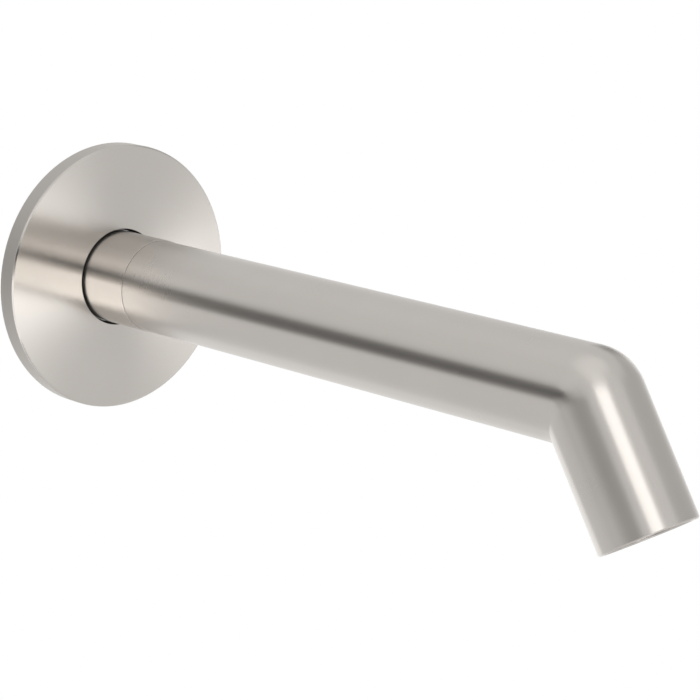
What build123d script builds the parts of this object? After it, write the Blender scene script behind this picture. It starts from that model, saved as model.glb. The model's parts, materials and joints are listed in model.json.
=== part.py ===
from build123d import *
import math
import os

# Wall-mounted bath spout: a straight round tube with a short bent tip, which swivels on a
# fixed collar behind a round cover plate.
#
# Frame: the finished wall is the plane Y = 0 and the room is on the -Y side. The tube's axis
# is the Y axis, +Z is up, +X is to the right of a person facing the wall. The origin is
# where the tube's axis meets the wall. "Depth" below is the distance in front of the wall
# (-Y); a negative depth is inside the wall. All sizes are in millimetres.

# Driving dimensions: the outside of the spout
TUBE_D = 25.0
COLLAR_D = 25.4  # the collar stands a hair proud of the tube
TUBE_WALL = 1.5
REACH = 199.0  # wall to the centre of the outlet
LEG = 34.5  # tip length, from the corner of the two axes to the outlet
BEND = 60.0  # degrees that the tip turns down
BEND_R = 1.5  # radius of the tube's centre line in the bend
TIP_EDGE = 0.3  # broken edge of the tube's mouth
EDGE = 0.06  # fine broken edges where collar and tube meet, and round the plate's bore
PLATE_D = 73.0
PLATE_T = 5.5
PLATE_BORE_D = 26.7
PLATE_EDGE = 0.45  # chamfer round the plate's face
COLLAR_FRONT = 22.0  # depth of the joint line between collar and tube
JOINT_GAP = 0.06  # running gap at the joint line, which hardly shows

# Driving dimensions: the fixing to the wall
THREAD_D = 20.955  # G 1/2 pipe thread, crest diameter
THREAD_END = -17.5  # depth of the thread's inner end, inside the wall
THREAD_START = -3.4
UNDERCUT_D = 18.2
HEX_AF = 22.0  # spanner size of the adaptor's flange
HEX_START = 0.2  # the flange's back, a hair in front of the wall
HEX_END = 2.6
BOSS_D = 19.0
BOSS_END = 14.0
SPIGOT_D = 14.5
SPIGOT_END = 32.0
WATER_D = 9.5  # waterway through the adaptor

# Driving dimensions: swivel
NECK_D = 18.6
NECK_END = 37.0
BUSH_END = 33.4
SNAP_START = 33.9
SNAP_T = 1.0

# Driving dimensions: outlet
OUTLET_THREAD_D = 18.5  # M18.5 x 1 thread of the concealed aerator
AERATOR_RECESS = 1.6  # aerator's face inside the tube's mouth
AERATOR_LEN = 8.9
AERATOR_BORE_R = 7.9
AERATOR_SEAT = 1.4  # squeezed thickness of the aerator's washer
LIP_R = 7.2  # opening of the aerator's face
LIP_T = 1.0
DIFFUSER_DROP = 2.1  # from the top of the aerator's sleeve down to the diffuser's underside
MIXER_DROP = 4.1  # ... and to the mixing ring's underside
SCREEN_WIRE = 0.3
SCREEN_T = 2 * SCREEN_WIRE

# Clearances
RUN = 0.05  # radial running fit between pieces that move on each other
SLIP = 0.1  # radial room of a piece that drops into its seat
FIXED = 0.02  # radial gap between pieces that are bonded or screwed together
FACE_GAP = 0.05  # gap between end faces

# Seals
SPIGOT_CORD = 1.5  # section of the O-rings on the spigot and in the swivel
PLATE_CORD = 2.0  # section of the O-ring that grips the collar
SEAL_CORD = 2.0  # section of the O-ring behind the hexagon

# Worked-out sizes
TUBE_R = TUBE_D / 2
COLLAR_R = COLLAR_D / 2
BORE_R = TUBE_R - TUBE_WALL
COS_BEND = math.cos(math.radians(BEND))
SIN_BEND = math.sin(math.radians(BEND))
CORNER = REACH - LEG * COS_BEND  # depth where the two axes cross
TANGENT = BEND_R * math.tan(math.radians(BEND) / 2)  # from the corner to where the bend starts
TUBE_START = COLLAR_FRONT + JOINT_GAP
OUTLET = Plane(
    origin=(0, -REACH, -LEG * SIN_BEND),
    x_dir=(1, 0, 0),
    z_dir=(0, COS_BEND, SIN_BEND),
)  # on the mouth of the tube, looking up the tip

AERATOR_R = OUTLET_THREAD_D / 2 - RUN
AERATOR_TOP = AERATOR_RECESS + AERATOR_LEN
INSERT_R = AERATOR_BORE_R - FIXED
LIP_TOP = AERATOR_RECESS + LIP_T
SCREEN_UPPER = AERATOR_TOP - MIXER_DROP - SCREEN_T - FACE_GAP
SCREEN_LOWER = SCREEN_UPPER - SCREEN_T - 2 * FACE_GAP

# Places along the adaptor and the collar
SPIGOT_RINGS = (19.0, 25.5)  # depths of the two O-rings on the spigot
SWIVEL_RING = 26.6
GLIDE_START = 29.2
GLIDE_LEN = 2.6
GLIDE_T = 0.6
GRUB_DEPTH = 9.6
GRUB_D = 5.0
PLATE_RING = 3.2  # depth of the O-ring in the plate's bore
WASHER_T = 0.5


def turned(profile):
    """A solid turned about the Y axis from (radius, depth) points."""
    outline = Polyline(*[(radius, -depth) for radius, depth in profile], close=True)
    return revolve(make_face(outline), Axis.Y, 360)


def tube_ring(outer_r, inner_r, start, end):
    """A plain ring about the Y axis between two depths."""
    return turned([(inner_r, start), (outer_r, start), (outer_r, end), (inner_r, end)])


def o_ring(inner_r, cord, depth):
    """A rubber ring of round section about the Y axis."""
    centre_r = inner_r + cord / 2
    section = Pos(centre_r, -depth) * Circle(cord / 2)
    return revolve(section, Axis.Y, 360)


def at_outlet(shape):
    """Puts a shape made on XY, with +Z up the tip, onto the mouth of the tube."""
    return OUTLET.location * shape


def outlet_turned(profile):
    """A solid turned about the tip's axis from (radius, height above the mouth) points."""
    outline = Polyline(*[(radius, 0, height) for radius, height in profile], close=True)
    return revolve(make_face(outline), Axis.Z, 360)


def outlet_ring_solid(outer_r, inner_r, low, high):
    """A plain ring about the tip's axis between two heights."""
    return outlet_turned([(inner_r, low), (outer_r, low), (outer_r, high), (inner_r, high)])


def bent_bar(radius, start, overrun):
    """A solid round bar along the spout's centre line, running past the mouth by overrun."""
    bend_start = CORNER - TANGENT
    section_plane = Plane(origin=(0, -bend_start, 0), x_dir=(1, 0, 0), z_dir=(0, -1, 0))
    pivot = Axis((0, -bend_start, -BEND_R), (1, 0, 0))
    section = section_plane * Circle(radius)
    straight = extrude(section, -(bend_start - start))
    keep = Pos(0, radius - BEND_R) * Rectangle(4 * radius, 2 * radius)
    outer_part = section_plane * (Circle(radius) & keep)
    elbow = revolve(outer_part, pivot, BEND)
    tip = extrude(section, LEG - TANGENT + overrun).rotate(pivot, BEND)
    return straight + elbow + tip


def wall_adaptor():
    """Brass fitting: pipe thread, hexagon, boss for the grub screw and spigot with O-rings."""
    groove = SPIGOT_CORD * 0.82
    groove_r = SPIGOT_D / 2 - groove
    half = SPIGOT_CORD * 0.66
    thread_r = THREAD_D / 2
    chamfer_in = 1.0
    body = turned(
        [
            (WATER_D / 2, THREAD_END),
            (thread_r - chamfer_in, THREAD_END),
            (thread_r, THREAD_END + chamfer_in),
            (thread_r, THREAD_START),
            (UNDERCUT_D / 2, THREAD_START + chamfer_in),
            (UNDERCUT_D / 2, HEX_START),
            (BOSS_D / 2, HEX_START),
            (BOSS_D / 2, BOSS_END - 0.5),
            (BOSS_D / 2 - 0.5, BOSS_END),
            (SPIGOT_D / 2, BOSS_END),
            (SPIGOT_D / 2, SPIGOT_END - chamfer_in),
            (SPIGOT_D / 2 - chamfer_in / 2, SPIGOT_END),
            (WATER_D / 2, SPIGOT_END),
        ]
    )
    for depth in SPIGOT_RINGS:
        body -= tube_ring(SPIGOT_D, groove_r, depth - half, depth + half)
    flange_plane = Plane(origin=(0, -HEX_START, 0), x_dir=(1, 0, 0), z_dir=(0, -1, 0))
    hexagon = RegularPolygon(HEX_AF / 2, 6, major_radius=False) - Circle(UNDERCUT_D / 2)
    flange = extrude(flange_plane * hexagon, HEX_END - HEX_START)
    corner_r = HEX_AF / math.sqrt(3)
    rounding = turned(
        [
            (0, -1),
            (corner_r + 1, -1),
            (corner_r + 1, HEX_END - 1.1),
            (HEX_AF / 2 - 0.2, HEX_END),
            (0, HEX_END),
        ]
    )
    return body + (flange & rounding)


def adaptor_seal_ring():
    """O-ring in the undercut, which seals against the mouth of the fitting in the wall."""
    return o_ring(UNDERCUT_D / 2, SEAL_CORD * 0.98, -SEAL_CORD / 2 - 0.08)


def spigot_o_ring(depth):
    """O-ring on the spigot, squeezed by the collar's bore."""
    groove_r = SPIGOT_D / 2 - SPIGOT_CORD * 0.82
    cord = SPIGOT_D / 2 + RUN - groove_r - RUN / 2
    return o_ring(groove_r, cord, depth)


def rear_collar():
    """Collar that slips over the adaptor: exposed band, inner neck for the swivel, screw hole."""
    boss_bore_r = BOSS_D / 2 + RUN
    spigot_bore_r = SPIGOT_D / 2 + RUN
    neck_r = NECK_D / 2
    rear = HEX_END + SLIP
    body = turned(
        [
            (boss_bore_r + 0.3, rear),
            (COLLAR_R - 0.3, rear),
            (COLLAR_R, rear + 0.3),
            (COLLAR_R, COLLAR_FRONT - EDGE),
            (COLLAR_R - EDGE, COLLAR_FRONT),
            (neck_r, COLLAR_FRONT),
            (neck_r, NECK_END - 0.6),
            (neck_r - 0.6, NECK_END),
            (spigot_bore_r, NECK_END),
            (spigot_bore_r, BOSS_END + 1.3),
            (boss_bore_r, BOSS_END + FACE_GAP),
            (boss_bore_r, rear + 0.3),
        ]
    )
    half = SPIGOT_CORD * 0.66
    groove_r = neck_r - SPIGOT_CORD * 0.8
    body -= tube_ring(NECK_D, groove_r, SWIVEL_RING - half, SWIVEL_RING + half)
    body -= tube_ring(NECK_D, neck_r - GLIDE_T, GLIDE_START, GLIDE_START + GLIDE_LEN)
    body -= tube_ring(NECK_D, neck_r - 0.7, SNAP_START, SNAP_START + SNAP_T + SLIP)
    screw_hole = Pos(0, -GRUB_DEPTH, -COLLAR_R) * Cylinder(GRUB_D / 2 + RUN, COLLAR_R)
    return body - screw_hole


def grub_screw():
    """Hexagon-socket grub screw with a flat point, in the underside of the collar."""
    tip = BOSS_D / 2 + FIXED
    head = COLLAR_R - 0.35
    length = head - tip
    shank = Cylinder(GRUB_D / 2, length)
    shank = chamfer(shank.edges().filter_by(GeomType.CIRCLE), 0.35)
    socket = extrude(RegularPolygon(1.25, 6, major_radius=False), 1.5)
    screw = shank - Pos(0, 0, length / 2 - 1.5) * socket
    return Pos(0, -GRUB_DEPTH, -(tip + length / 2)) * Rot(X=180) * screw


def swivel_thrust_washer():
    """Plastic washer between the collar's shoulder and the swivelling bush."""
    start = COLLAR_FRONT
    return tube_ring(BORE_R - SLIP, NECK_D / 2 + RUN, start, start + WASHER_T)


def swivel_o_ring():
    """O-ring in the collar's neck: the water seal of the swivel."""
    groove_r = NECK_D / 2 - SPIGOT_CORD * 0.8
    cord = NECK_D / 2 + RUN - groove_r - RUN / 2
    return o_ring(groove_r, cord, SWIVEL_RING)


def swivel_glide_ring():
    """Split plastic band that carries the bush on the neck without metal on metal."""
    neck_r = NECK_D / 2
    inner = neck_r - GLIDE_T + FIXED
    band = tube_ring(neck_r + RUN / 2, inner, GLIDE_START + SLIP, GLIDE_START + GLIDE_LEN - SLIP)
    slit_middle = GLIDE_START + GLIDE_LEN / 2
    return band - Pos(0, -slit_middle, neck_r) * Rot(Z=25) * Box(0.8, 8, 4)


def swivel_snap_ring():
    """Open spring ring that keeps the bush on the neck."""
    inner = NECK_D / 2 - 0.7 + FIXED
    ring = tube_ring(BORE_R - 0.5, inner, SNAP_START + FACE_GAP, SNAP_START + SNAP_T + FACE_GAP)
    return ring - Pos(0, -SNAP_START, TUBE_R) * Box(4.0, 4, 2 * (TUBE_R - inner) + 4)


def inlet_bush():
    """Brass bush screwed into the rear of the tube; it turns on the collar's neck."""
    start = TUBE_START + WASHER_T
    bore_r = NECK_D / 2 + RUN
    body = turned(
        [
            (bore_r, start),
            (BORE_R - FIXED, start),
            (BORE_R - FIXED, BUSH_END - 0.4),
            (BORE_R - FIXED - 0.4, BUSH_END),
            (bore_r + 0.5, BUSH_END),
            (bore_r, BUSH_END - 0.5),
        ]
    )
    for turn in range(4):
        slot = Pos(0, -BUSH_END, (bore_r + BORE_R) / 2) * Box(2.4, 2.0, 2 * (BORE_R - bore_r))
        body -= slot.rotate(Axis.Y, 90 * turn)
    return body


def spout_tube():
    """The bent tube: one wall thickness all the way, mouth cut square to the tip."""
    outside = bent_bar(TUBE_R, TUBE_START, 0)
    tube = outside - bent_bar(BORE_R, TUBE_START - 1, 1)
    mouth = [e for e in tube.edges().filter_by(GeomType.CIRCLE) if on_mouth(e)]
    tube = chamfer(mouth, TIP_EDGE)
    rear = [e for e in tube.edges().filter_by(GeomType.CIRCLE) if on_rear(e)]
    return chamfer(rear, EDGE)


def on_mouth(edge):
    """True for the circles on the mouth's plane."""
    return abs(OUTLET.to_local_coords(edge.center(CenterOf.MASS)).Z) < 0.01


def on_rear(edge):
    """True for the outer circle at the tube's rear end."""
    at_rear = abs(edge.center(CenterOf.MASS).Y + TUBE_START) < 0.01
    return at_rear and edge.radius > TUBE_R - 0.1


def cover_plate():
    """Round plate on the wall: flat face, O-ring groove in the bore, hollowed back."""
    bore_r = PLATE_BORE_D / 2
    plate_r = PLATE_D / 2
    hub_r = bore_r + 4.0
    relief_r = 28.5
    relief = PLATE_T - 2.2
    seat_in = 30.0
    seat_out = 34.2
    seat = 1.5
    body = turned(
        [
            (bore_r, 0.3),
            (bore_r + 0.3, 0),
            (hub_r, 0),
            (hub_r, relief),
            (relief_r, relief),
            (relief_r, 0),
            (seat_in, 0),
            (seat_in, seat),
            (seat_out, seat),
            (seat_out, 0),
            (plate_r - 0.2, 0),
            (plate_r, 0.2),
            (plate_r, PLATE_T - PLATE_EDGE),
            (plate_r - PLATE_EDGE, PLATE_T),
            (bore_r + EDGE, PLATE_T),
            (bore_r, PLATE_T - EDGE),
        ]
    )
    groove_r = COLLAR_R + RUN + PLATE_CORD + FIXED
    half = PLATE_CORD * 0.55
    return body - tube_ring(groove_r, bore_r - 1, PLATE_RING - half, PLATE_RING + half)


def cover_plate_o_ring():
    """O-ring in the plate's bore, which grips the collar."""
    return o_ring(COLLAR_R + RUN, PLATE_CORD, PLATE_RING)


def wall_gasket():
    """Flat foam ring in the back of the plate, which keeps splashes out of the wall."""
    return tube_ring(34.2 - SLIP, 30.0 + SLIP, 0, 1.5 - FIXED)


def outlet_insert():
    """Brass ring bonded in the tip, with the thread and the seat for the aerator."""
    low = 0.7
    high = 15.0
    seat = AERATOR_TOP + AERATOR_SEAT
    thread_r = OUTLET_THREAD_D / 2
    throat_r = 7.7
    return at_outlet(
        outlet_turned(
            [
                (thread_r + 0.5, low),
                (BORE_R - FIXED - 0.2, low),
                (BORE_R - FIXED, low + 0.2),
                (BORE_R - FIXED, high),
                (throat_r + 0.6, high),
                (throat_r, high - 0.6),
                (throat_r, seat),
                (thread_r, seat),
                (thread_r, low + 0.5),
            ]
        )
    )


def aerator_housing():
    """Threaded sleeve of the aerator with key notches round its face."""
    sleeve = outlet_turned(
        [
            (LIP_R, AERATOR_RECESS),
            (AERATOR_R - 0.4, AERATOR_RECESS),
            (AERATOR_R, AERATOR_RECESS + 0.4),
            (AERATOR_R, AERATOR_TOP - 0.3),
            (AERATOR_R - 0.3, AERATOR_TOP),
            (AERATOR_BORE_R, AERATOR_TOP),
            (AERATOR_BORE_R, LIP_TOP),
            (LIP_R, LIP_TOP),
        ]
    )
    notches = 8
    for index in range(notches):
        notch = Pos(AERATOR_R - 0.2, 0, AERATOR_RECESS) * Box(1.7, 1.8, 1.8)
        sleeve -= notch.rotate(Axis.Z, 360 / notches * index)
    return at_outlet(sleeve)


def aerator_washer():
    """Rubber washer squeezed between the aerator and its seat."""
    seat = AERATOR_TOP + AERATOR_SEAT
    return at_outlet(outlet_ring_solid(AERATOR_R - 0.1, 7.75, AERATOR_TOP + FIXED, seat - FIXED))


def aerator_strainer():
    """Slotted cup that keeps grit out, standing up through the washer."""
    low = AERATOR_TOP - 0.9
    cup_r = 7.0
    top = AERATOR_TOP + 3.4
    wall = 0.8
    cup = outlet_turned(
        [
            (cup_r - wall, low),
            (INSERT_R, low),
            (INSERT_R, AERATOR_TOP - FIXED),
            (cup_r, AERATOR_TOP - FIXED),
            (cup_r, top - 1.2),
            (cup_r - 1.6, top),
            (0, top + 0.8),
            (0, top + 0.8 - wall),
            (cup_r - 1.9, top - wall),
            (cup_r - wall, top - 1.5),
        ]
    )
    slots = 20
    for index in range(slots):
        slot = Pos(cup_r, 0, (AERATOR_TOP + top) / 2 - 0.3) * Box(3.4, 0.8, 2.0)
        cup -= slot.rotate(Axis.Z, 360 / slots * index)
    top_slots = 7
    for index in range(top_slots):
        across = (index - (top_slots - 1) / 2) * 1.4
        half = math.sqrt(4.6**2 - across**2)
        cup -= Pos(across, 0, top + 0.4) * Box(0.6, 2 * half - 0.8, 3)
    return at_outlet(cup)


def aerator_diffuser():
    """Drilled disc that breaks the flow into jets."""
    low = AERATOR_TOP - DIFFUSER_DROP
    high = AERATOR_TOP - 0.9 - FIXED
    disc = Pos(0, 0, (low + high) / 2) * Cylinder(INSERT_R, high - low)
    for ring_r, count in ((6.4, 18), (4.6, 12), (2.6, 6)):
        for index in range(count):
            hole = Pos(ring_r, 0, (low + high) / 2) * Cylinder(0.5, 2)
            disc -= hole.rotate(Axis.Z, 360 / count * index)
    return at_outlet(disc)


def aerator_mixing_ring():
    """Ring with a cone inside, where the jets draw in air."""
    low = AERATOR_TOP - MIXER_DROP
    high = AERATOR_TOP - DIFFUSER_DROP - FIXED
    return at_outlet(
        outlet_turned([(6.0, low), (INSERT_R, low), (INSERT_R, high), (7.1, high)])
    )


def aerator_screen(low, turn):
    """Wire screen: a rim with two crossed layers of wires."""
    wire = SCREEN_WIRE
    pitch = 1.3
    high = low + SCREEN_T
    rim_in = INSERT_R - 0.6
    screen = outlet_ring_solid(INSERT_R, rim_in, low, high)
    wires = 11
    for index in range(wires):
        across = (index - (wires - 1) / 2) * pitch
        half = math.sqrt((rim_in + 0.3) ** 2 - across**2)
        screen += Pos(across, 0, low + wire / 2) * Box(wire, 2 * half, wire)
        screen += Pos(0, across, high - wire / 2) * Box(2 * half, wire, wire)
    return at_outlet(screen.rotate(Axis.Z, turn))


def aerator_honeycomb():
    """Outlet grid of hexagonal cells that sends the stream out straight."""
    low = LIP_TOP + FIXED
    high = SCREEN_LOWER - FACE_GAP
    pitch = 1.75
    cell_r = 0.72
    disc = Pos(0, 0, (low + high) / 2) * Cylinder(INSERT_R, high - low)
    rows = 4
    cells = Sketch()
    for row in range(-rows, rows + 1):
        for column in range(-rows, rows + 1):
            x = pitch * (column + row / 2)
            y = pitch * row * math.sqrt(3) / 2
            if math.hypot(x, y) < LIP_R - cell_r:
                cells += Pos(x, y) * RegularPolygon(cell_r, 6, major_radius=False, rotation=30)
    holes = extrude(Pos(0, 0, low - 1) * cells, high - low + 2)
    return at_outlet(disc - holes)


PARTS = {
    "wall_adaptor": wall_adaptor(),
    "adaptor_seal_ring": adaptor_seal_ring(),
    "spigot_o_ring_rear": spigot_o_ring(SPIGOT_RINGS[0]),
    "spigot_o_ring_front": spigot_o_ring(SPIGOT_RINGS[1]),
    "rear_collar": rear_collar(),
    "grub_screw": grub_screw(),
    "swivel_thrust_washer": swivel_thrust_washer(),
    "swivel_o_ring": swivel_o_ring(),
    "swivel_glide_ring": swivel_glide_ring(),
    "swivel_snap_ring": swivel_snap_ring(),
    "inlet_bush": inlet_bush(),
    "spout_tube": spout_tube(),
    "cover_plate": cover_plate(),
    "cover_plate_o_ring": cover_plate_o_ring(),
    "wall_gasket": wall_gasket(),
    "outlet_insert": outlet_insert(),
    "aerator_washer": aerator_washer(),
    "aerator_housing": aerator_housing(),
    "aerator_strainer": aerator_strainer(),
    "aerator_diffuser": aerator_diffuser(),
    "aerator_mixing_ring": aerator_mixing_ring(),
    "aerator_screen_upper": aerator_screen(SCREEN_UPPER, 0),
    "aerator_screen_lower": aerator_screen(SCREEN_LOWER, 45),
    "aerator_honeycomb": aerator_honeycomb(),
}

os.makedirs("parts", exist_ok=True)
for node, shape in PARTS.items():
    export_step(shape, f"parts/{node}.step")
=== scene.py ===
import json
import math
import bmesh
import bpy
from mathutils import Matrix, Vector


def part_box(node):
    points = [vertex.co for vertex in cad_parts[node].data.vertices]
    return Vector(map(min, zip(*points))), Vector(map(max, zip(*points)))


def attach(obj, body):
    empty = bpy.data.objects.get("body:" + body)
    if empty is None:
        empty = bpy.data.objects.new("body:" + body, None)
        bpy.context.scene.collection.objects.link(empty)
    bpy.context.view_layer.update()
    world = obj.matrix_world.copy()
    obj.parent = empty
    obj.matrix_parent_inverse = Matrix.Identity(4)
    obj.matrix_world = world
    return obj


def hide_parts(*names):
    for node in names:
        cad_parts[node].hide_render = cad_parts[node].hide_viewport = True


# Blender looks for the wall-mounted bath spout. Metres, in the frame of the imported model:
# the wall is the plane Y = 0, the room is on the -Y side, the tube's axis is the Y axis.
# A direction's azimuth is 0 straight out into the room and 90 along +X. Angles in degrees.

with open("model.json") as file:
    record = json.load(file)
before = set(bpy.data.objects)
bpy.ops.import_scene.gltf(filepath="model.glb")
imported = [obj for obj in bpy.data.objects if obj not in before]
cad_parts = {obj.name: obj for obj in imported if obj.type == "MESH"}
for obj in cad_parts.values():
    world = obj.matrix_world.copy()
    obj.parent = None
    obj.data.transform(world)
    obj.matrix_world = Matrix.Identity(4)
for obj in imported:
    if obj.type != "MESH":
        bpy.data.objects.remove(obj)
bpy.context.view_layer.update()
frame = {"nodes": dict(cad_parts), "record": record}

MM = 0.001

# Camera: direction from the object, roll, distance and aim point
CAMERA_AZIMUTH = -42.0
CAMERA_ELEVATION = 15.48
CAMERA_ROLL = -1.82
CAMERA_DISTANCE = 708.44 * MM
AIM_DEPTH = 90 * MM
AIM_RIGHT = 6.1 * MM
AIM_UP = -5.23 * MM
SENSOR = 36.0
LENS = 143.6359
CLIP_START = 0.01
CLIP_END = 50

# Room
FLOOR_DROP = 800 * MM
FLOOR_SIZE = 6.0

# Studio light, all round the object: an even room with soft cards over it, in this order
ROOM_LEVEL = 0.78
# (azimuth, elevation, half width, half height, soft edge across, soft edge up, level)
CEILING = (0, 90, 180, 18, 1, 14, 1.0)
RIM_LIGHT = (150, -20, 30, 22, 12, 14, 1.12)
RIGHT_FLAG = (119, 20, 4, 8, 6, 6, 0.25)
FLOOR_CARD = (17, -11, 11, 4, 8, 6, 2.9)
FRONT_FLAG = (66, 18, 28, 14, 14, 12, 0.58)
SOFTBOX = (-24, 37, 14, 10, 12, 9, 1.05)
LOW_STRIP = (-29, -18, 16, 17, 10, 6, 2.7)
BACK_FLAG = (-144, 7, 18, 7, 10, 8, 0.16)
LEFT_FLAG = (-90, 10, 32, 5, 12, 7, 0.12)
NEAR_FLAG = (-50, 15, 20, 3, 10, 4, 0.05)
CARDS = (
    CEILING,
    RIM_LIGHT,
    RIGHT_FLAG,
    FLOOR_CARD,
    FRONT_FLAG,
    SOFTBOX,
    LOW_STRIP,
    BACK_FLAG,
    LEFT_FLAG,
    NEAR_FLAG,
)
# A softbox close to the mouth of the tube: direction from there, distance, size and power
LAMP_AZIMUTH = -27
LAMP_ELEVATION = 32
LAMP_DISTANCE = 350 * MM
LAMP_SIZE = 175 * MM
LAMP_POWER = 0.105

# G 1/2 pipe thread on the adaptor
THREAD_RADIUS = 20.955 / 2 * MM
THREAD_PITCH = 1.814 * MM
THREAD_DEPTH = 1.162 * MM
THREAD_FADE = 1.4 * MM  # run over which the thread starts and ends
THREAD_ROWS = 12  # rows of faces to a pitch
THREAD_COLUMNS = 96
THREAD_WELD = 0.01 * MM
THREAD_SHARP = math.radians(35)

# The tube's bend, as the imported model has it, and the run over which the grooves turn with it
BEND = math.radians(60)
BEND_BLEND = 3 * MM

# The plate's rim: how far inside the edge it starts and ends, and how much rougher it is
RIM_START = 0.15 * MM
RIM_END = 0.05 * MM
RIM_ROUGHER = 0.2

# Brushed metal: noise scales are per metre, and the stretch is how much of the way along a
# groove counts beside the way across it
GROOVE_SCALE = 900.0
GROOVE_DETAIL = 1.0
GROOVE_SPREAD = 0.018
GROOVE_RELIEF = 0.01 * MM
GROOVE_STRETCH = 0.004
PLATE_STRETCH = 0.0008
CLOUD_SCALE = 60.0
CLOUD_DETAIL = 3.0
CLOUD_SPREAD = 0.03
CLOUD_START = 0.25
CLOUD_END = 0.75
METAL_DARKER = 0.985
METAL_LIGHTER = 1.012

# Cast, moulded and plain machined surfaces
PLAIN_CLOUD_SCALE = 150.0
PLAIN_DETAIL = 3.0
PLAIN_DARKER = 0.85
PLAIN_SPREAD = 0.15

STEEL = (0.625, 0.592, 0.555)
BRASS = (0.72, 0.5, 0.25)
SCREW_STEEL = (0.45, 0.45, 0.46)
RUBBER = (0.012, 0.012, 0.012)
FOAM = (0.05, 0.05, 0.05)
WHITE_PLASTIC = (0.8, 0.8, 0.78)
GREY_PLASTIC = (0.3, 0.31, 0.32)
STRAINER_PLASTIC = (0.75, 0.75, 0.73)
WIRE = (0.6, 0.6, 0.6)


def tube_corner():
    """Where the axes of the two legs cross, from the tube's box."""
    low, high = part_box("spout_tube")
    radius = high[0]
    mouth_y = low[1] + radius * math.sin(BEND)
    mouth_z = low[2] + radius * math.cos(BEND)
    return Vector((0, mouth_y - mouth_z / math.tan(BEND), 0))


def view_axes(azimuth, elevation, roll):
    """Right, up and back of something that looks at the object from a direction."""
    a = math.radians(azimuth)
    e = math.radians(elevation)
    r = math.radians(roll)
    back = Vector((math.sin(a) * math.cos(e), -math.cos(a) * math.cos(e), math.sin(e)))
    level = Vector((math.cos(a), math.sin(a), 0))
    upright = back.cross(level)
    right = math.cos(r) * level + math.sin(r) * upright
    up = math.cos(r) * upright - math.sin(r) * level
    return right, up, back


def placed(axes, place):
    """World matrix of something at a place with the given right, up and back."""
    return Matrix.Translation(place) @ Matrix(axes).transposed().to_4x4()


def add_camera():
    right, up, back = view_axes(CAMERA_AZIMUTH, CAMERA_ELEVATION, CAMERA_ROLL)
    aim = Vector((0, -AIM_DEPTH, 0)) + right * AIM_RIGHT + up * AIM_UP
    data = bpy.data.cameras.new("camera")
    data.lens = LENS
    data.sensor_width = SENSOR
    data.clip_start = CLIP_START
    data.clip_end = CLIP_END
    camera = bpy.data.objects.new("camera", data)
    camera.matrix_world = placed((right, up, back), aim + back * CAMERA_DISTANCE)
    bpy.context.scene.collection.objects.link(camera)
    bpy.context.scene.camera = camera


class Graph:
    """A node tree under construction. Values are numbers, tuples or output sockets."""

    def __init__(self, tree):
        self.tree = tree
        tree.nodes.clear()

    def put(self, value, socket):
        """Link an output socket to the input socket, or set a number or a tuple on it."""
        if isinstance(value, bpy.types.NodeSocket):
            self.tree.links.new(value, socket)
        else:
            socket.default_value = value

    def node(self, kind, inputs, **settings):
        made = self.tree.nodes.new("ShaderNode" + kind)
        for name, value in settings.items():
            setattr(made, name, value)
        for key, value in inputs.items():
            self.put(value, made.inputs[key])
        return made

    def math(self, operation, *values):
        return self.node("Math", dict(enumerate(values)), operation=operation).outputs[0]

    def vector(self, operation, *values):
        made = self.node("VectorMath", dict(enumerate(values)), operation=operation)
        return made.outputs["Value" if operation in ("DOT_PRODUCT", "LENGTH") else "Vector"]

    def split(self, vector):
        return self.node("SeparateXYZ", {0: vector}).outputs

    def join(self, x, y, z):
        return self.node("CombineXYZ", {0: x, 1: y, 2: z}).outputs[0]

    def ramp(self, value, start, end, first, last):
        """Goes smoothly from first to last as the value goes from start to end."""
        inputs = {"Value": value, 1: start, 2: end, 3: first, 4: last}
        made = self.node("MapRange", inputs, interpolation_type="SMOOTHSTEP", clamp=True)
        return made.outputs[0]

    def blend(self, factor, first, second, data_type="FLOAT"):
        """Mix of the first and the second value."""
        made = self.node("Mix", {}, data_type=data_type)
        name = {"FLOAT": "_Float", "RGBA": "_Color", "VECTOR": "_Vector"}[data_type]
        sockets = {socket.identifier: socket for socket in made.inputs}
        self.put(factor, sockets["Factor_Float"])
        self.put(first, sockets["A" + name])
        self.put(second, sockets["B" + name])
        return next(s for s in made.outputs if s.identifier == "Result" + name)

    def place(self):
        """Object coordinates."""
        return self.node("TexCoord", {}).outputs["Object"]

    def noise(self, vector, scale, detail):
        inputs = {"Vector": vector, "Scale": scale, "Detail": detail}
        return self.node("TexNoise", inputs).outputs["Fac"]


def window(graph, angle, centre, half, soft):
    """1 within half of the centre, fading to 0 over the soft edge."""
    turned = graph.math("WRAP", graph.math("SUBTRACT", angle, centre), 180.0, -180.0)
    return graph.ramp(graph.math("ABSOLUTE", turned), half, half + soft, 1.0, 0.0)


def add_studio():
    """Soft light from all round with a few large cards; plain white to the camera."""
    world = bpy.data.worlds.new("studio")
    bpy.context.scene.world = world
    world.use_nodes = True
    graph = Graph(world.node_tree)
    direction = graph.node("TexCoord", {}).outputs["Generated"]
    x, y, z = graph.split(graph.vector("NORMALIZE", direction))
    azimuth = graph.math("DEGREES", graph.math("ARCTAN2", x, graph.math("MULTIPLY", y, -1.0)))
    elevation = graph.math("DEGREES", graph.math("ARCSINE", z))
    level = ROOM_LEVEL
    for card in CARDS:
        middle, height, half_width, half_height, soft_across, soft_up, card_level = card
        across = window(graph, azimuth, middle, half_width, soft_across)
        upward = window(graph, elevation, height, half_height, soft_up)
        level = graph.blend(graph.math("MULTIPLY", across, upward), level, float(card_level))
    seen = graph.node("LightPath", {}).outputs["Is Camera Ray"]
    strength = graph.blend(seen, level, 1.0)
    background = graph.node("Background", {"Color": (1, 1, 1, 1), "Strength": strength})
    graph.node("OutputWorld", {"Surface": background.outputs[0]})


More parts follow.
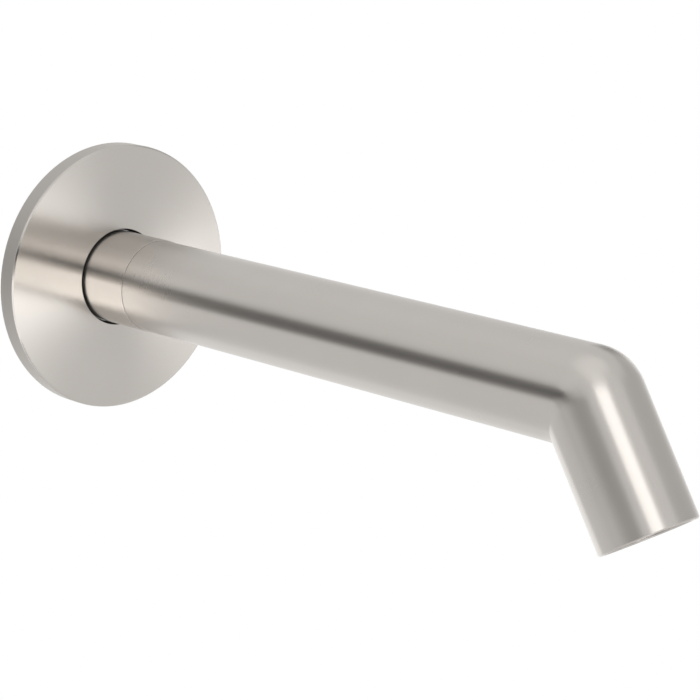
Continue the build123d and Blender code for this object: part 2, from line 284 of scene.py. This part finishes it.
def add_lamp():
    """The softbox near the mouth of the tube."""
    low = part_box("spout_tube")[0]
    aim = Vector((low[0] / 2, low[1], low[2] / 2))
    right, up, back = view_axes(LAMP_AZIMUTH, LAMP_ELEVATION, 0)
    data = bpy.data.lights.new("softbox", "AREA")
    data.size = LAMP_SIZE
    data.energy = LAMP_POWER
    lamp = bpy.data.objects.new("softbox", data)
    lamp.matrix_world = placed((right, up, back), aim + back * LAMP_DISTANCE)
    bpy.context.scene.collection.objects.link(lamp)


def new_material(name):
    material = bpy.data.materials.new(name)
    material.use_nodes = True
    return material, Graph(material.node_tree)


def add_floor():
    """A plain white floor below the spout."""
    half = FLOOR_SIZE / 2
    mesh = bpy.data.meshes.new("floor")
    corners = [(-half, -half, 0), (half, -half, 0), (half, half, 0), (-half, half, 0)]
    mesh.from_pydata([(x, y, -FLOOR_DROP) for x, y, z in corners], [], [(0, 1, 2, 3)])
    floor = bpy.data.objects.new("floor", mesh)
    bpy.context.scene.collection.objects.link(floor)
    material, graph = new_material("floor_white")
    glow = graph.node("Emission", {"Color": (1, 1, 1, 1), "Strength": 1.0})
    graph.node("OutputMaterial", {"Surface": glow.outputs[0]})
    mesh.materials.append(material)
    floor.visible_glossy = False
    floor.visible_diffuse = False


# A lay gives the coordinates of the groove noise, the way across the grooves, and how much
# rougher the surface is than its material.


def tube_lay(graph):
    """Grooves round the tube, on the long leg and on the tip."""
    place = graph.place()
    corner = tube_corner()
    turned = graph.node(
        "VectorRotate",
        {"Vector": place, "Center": corner, "Axis": (1, 0, 0), "Angle": -BEND},
        rotation_type="AXIS_ANGLE",
    ).outputs[0]
    middle = (0, -math.cos(BEND / 2), -math.sin(BEND / 2))
    past = graph.vector("DOT_PRODUCT", graph.vector("SUBTRACT", place, tuple(corner)), middle)
    on_tip = graph.ramp(past, -BEND_BLEND, BEND_BLEND, 0.0, 1.0)
    lay = graph.blend(on_tip, place, turned, "VECTOR")
    tip_way = (0, -math.cos(BEND), -math.sin(BEND))
    across = graph.blend(on_tip, (0, -1, 0), tip_way, "VECTOR")
    return graph.vector("MULTIPLY", lay, (GROOVE_STRETCH, 1, GROOVE_STRETCH)), across, 0.0


def axis_lay(graph):
    """Turned grooves round the Y axis."""
    stretch = (GROOVE_STRETCH, 1, GROOVE_STRETCH)
    return graph.vector("MULTIPLY", graph.place(), stretch), graph.join(0.0, -1.0, 0.0), 0.0


def plate_lay(graph):
    """Circular grooves on the plate's faces and across its rim."""
    place = graph.place()
    flat = graph.vector("MULTIPLY", place, (1, 0, 1))
    radius = graph.vector("LENGTH", flat)
    outward = graph.vector("NORMALIZE", flat)
    depth = graph.split(place)[1]
    outward_parts = graph.split(outward)
    right, up = outward_parts[0], outward_parts[2]
    round_axis = graph.join(graph.math("MULTIPLY", up, -1.0), 0.0, right)
    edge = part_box("cover_plate")[1][0]
    rim = graph.ramp(radius, edge - RIM_START, edge - RIM_END, 0.0, 1.0)
    across = graph.blend(rim, outward, round_axis, "VECTOR")
    grooves = graph.join(
        graph.math("ADD", radius, depth),
        graph.math("MULTIPLY", right, PLATE_STRETCH),
        graph.math("MULTIPLY", up, PLATE_STRETCH),
    )
    return grooves, across, graph.math("MULTIPLY", rim, RIM_ROUGHER)


def shaded(colour, factor):
    """The colour, darker or lighter, as a shader colour."""
    return tuple(min(1, level * factor) for level in colour) + (1,)


def add_spread(graph, noise, amount, roughness):
    """The roughness, higher and lower by half the amount with the noise."""
    return graph.math("MULTIPLY_ADD", graph.math("SUBTRACT", noise, 0.5), amount, roughness)


def add_surface(graph, inputs):
    surface = graph.node("BsdfPrincipled", inputs)
    graph.node("OutputMaterial", {"Surface": surface.outputs[0]})


def brushed_metal(name, colour, roughness, anisotropy, lay, relief):
    """Brushed or turned metal: reflections blur across the grooves."""
    material, graph = new_material(name)
    grooves, across, rougher = lay(graph)
    lines = graph.noise(grooves, GROOVE_SCALE, GROOVE_DETAIL)
    cloud = graph.noise(graph.place(), CLOUD_SCALE, CLOUD_DETAIL)
    spread = add_spread(graph, lines, GROOVE_SPREAD, roughness)
    spread = add_spread(graph, cloud, CLOUD_SPREAD, spread)
    spread = graph.math("ADD", spread, rougher)
    mix = graph.ramp(cloud, CLOUD_START, CLOUD_END, 0.0, 1.0)
    darker = shaded(colour, METAL_DARKER)
    tint = graph.blend(mix, darker, shaded(colour, METAL_LIGHTER), "RGBA")
    bump = graph.node("Bump", {"Strength": relief, "Distance": GROOVE_RELIEF, "Height": lines})
    way = graph.node(
        "VectorTransform",
        {0: across},
        vector_type="VECTOR",
        convert_from="OBJECT",
        convert_to="WORLD",
    )
    inputs = {
        "Base Color": tint,
        "Metallic": 1.0,
        "Roughness": spread,
        "Anisotropic": anisotropy,
        "Tangent": way.outputs[0],
        "Normal": bump.outputs[0],
    }
    add_surface(graph, inputs)
    return material


def plain_material(name, colour, metallic, roughness, grain, relief):
    """A cast, moulded or machined surface: grain is the size of its finest marks."""
    material, graph = new_material(name)
    place = graph.place()
    marks = graph.noise(place, 1 / grain, PLAIN_DETAIL)
    cloud = graph.noise(place, PLAIN_CLOUD_SCALE, PLAIN_DETAIL)
    tint = graph.blend(cloud, shaded(colour, PLAIN_DARKER), shaded(colour, 1), "RGBA")
    bump = graph.node("Bump", {"Strength": relief, "Distance": grain, "Height": marks})
    inputs = {
        "Base Color": tint,
        "Metallic": metallic,
        "Roughness": add_spread(graph, cloud, PLAIN_SPREAD, roughness),
        "Normal": bump.outputs[0],
    }
    add_surface(graph, inputs)
    return material


def cut_thread(angle, run, length):
    """Radius of the pipe thread under its crest, at an angle and a distance from one end."""
    turn = run / THREAD_PITCH - angle / (2 * math.pi)
    valley = 0.5 - 0.5 * math.cos(2 * math.pi * turn)
    fade = min(1, run / THREAD_FADE, (length - run) / THREAD_FADE)
    return THREAD_RADIUS - THREAD_DEPTH * valley * max(0, fade)


def turn_of(vert):
    """Angle of a vertex round the Y axis."""
    return math.atan2(vert.co.x, vert.co.z) % (2 * math.pi)


def join_rings(shell, first, second):
    """Faces between two rings of vertices round the Y axis."""
    corners = [(turn_of(v), 0, v) for v in first] + [(turn_of(v), 1, v) for v in second]
    corners.sort(key=lambda corner: corner[:2])
    here = [max(first, key=turn_of), max(second, key=turn_of)]
    for _, side, vert in corners:
        shell.faces.new((here[0], here[1], vert))
        here[side] = vert


def remove_plain_thread(shell):
    """Take away the plain cylinder at the thread's crest; gives where it starts and ends."""
    plain = []
    for face in shell.faces:
        inner = min(math.hypot(v.co.x, v.co.z) for v in face.verts)
        if inner > THREAD_RADIUS - 2 * THREAD_WELD and min(v.co.y for v in face.verts) > 0:
            plain.append(face)
    start = min(v.co.y for face in plain for v in face.verts)
    end = max(v.co.y for face in plain for v in face.verts)
    bmesh.ops.delete(shell, geom=plain, context="FACES")
    return start, end


def add_thread_grid(shell, start, end):
    """The threaded surface, as rings of vertices with faces between; gives the end rings."""
    length = end - start
    rows = round(length / THREAD_PITCH * THREAD_ROWS)
    rings = []
    for row in range(rows + 1):
        run = THREAD_WELD + (length - 2 * THREAD_WELD) * row / rows
        ring = []
        for column in range(THREAD_COLUMNS):
            angle = 2 * math.pi * column / THREAD_COLUMNS
            radius = cut_thread(angle, run, length)
            place = (radius * math.sin(angle), start + run, radius * math.cos(angle))
            ring.append(shell.verts.new(place))
        rings.append(ring)
    for near, far in zip(rings, rings[1:]):
        for column in range(THREAD_COLUMNS):
            after = (column + 1) % THREAD_COLUMNS
            shell.faces.new((near[column], far[column], far[after], near[after]))
    return rings[0], rings[-1]


def add_threaded_adaptor():
    """The wall adaptor with a real pipe thread in place of its plain threaded length."""
    shell = bmesh.new()
    shell.from_mesh(frame["nodes"]["wall_adaptor"].data)
    bmesh.ops.remove_doubles(shell, verts=shell.verts, dist=THREAD_WELD)
    start, end = remove_plain_thread(shell)
    open_verts = [v for v in shell.verts if v.is_boundary]
    first, last = add_thread_grid(shell, start, end)
    for level, ring in ((start, first), (end, last)):
        join_rings(shell, [v for v in open_verts if abs(v.co.y - level) < THREAD_WELD], ring)
    bmesh.ops.recalc_face_normals(shell, faces=shell.faces)
    mesh = bpy.data.meshes.new("wall_adaptor_threaded")
    shell.to_mesh(mesh)
    shell.free()
    mesh.shade_smooth()
    mesh.set_sharp_from_angle(angle=THREAD_SHARP)
    mesh.materials.append(MATERIALS["adaptor_brass"])
    adaptor = bpy.data.objects.new("wall_adaptor_threaded", mesh)
    bpy.context.scene.collection.objects.link(adaptor)
    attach(adaptor, "wall_fixing")
    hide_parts("wall_adaptor")


# Slot: colour, roughness, anisotropy, lay, relief
BRUSHED = {
    "tube_metal": (STEEL, 0.28, 0.85, tube_lay, 0.01),
    "collar_metal": (STEEL, 0.22, 0.97, axis_lay, 0.01),
    "plate_metal": (STEEL, 0.19, 0.97, plate_lay, 0.01),
    "adaptor_brass": (BRASS, 0.3, 0.5, axis_lay, 0.1),
    "insert_nickel": (STEEL, 0.3, 0.5, axis_lay, 0.03),
    "screw_steel": (SCREW_STEEL, 0.33, 0.3, axis_lay, 0.1),
}
# Slot: colour, metallic, roughness, grain, relief
PLAIN = {
    "rubber_seal": (RUBBER, 0.0, 0.55, 0.3 * MM, 0.15),
    "foam_gasket": (FOAM, 0.0, 0.95, 0.5 * MM, 0.7),
    "bearing_plastic": (WHITE_PLASTIC, 0.0, 0.45, 0.2 * MM, 0.1),
    "aerator_plastic": (GREY_PLASTIC, 0.0, 0.4, 0.2 * MM, 0.15),
    "strainer_plastic": (STRAINER_PLASTIC, 0.0, 0.45, 0.2 * MM, 0.1),
    "screen_wire": (WIRE, 1.0, 0.25, 0.2 * MM, 0.2),
}

add_camera()
bpy.context.scene.view_settings.view_transform = "Standard"
add_studio()
add_lamp()
add_floor()

MATERIALS = {name: brushed_metal(name, *row) for name, row in BRUSHED.items()}
MATERIALS.update({name: plain_material(name, *row) for name, row in PLAIN.items()})
for row in frame["record"]["subparts"]:
    mesh = frame["nodes"][row["node"]].data
    mesh.materials.clear()
    mesh.materials.append(MATERIALS[row["material_slot"]])

add_threaded_adaptor()
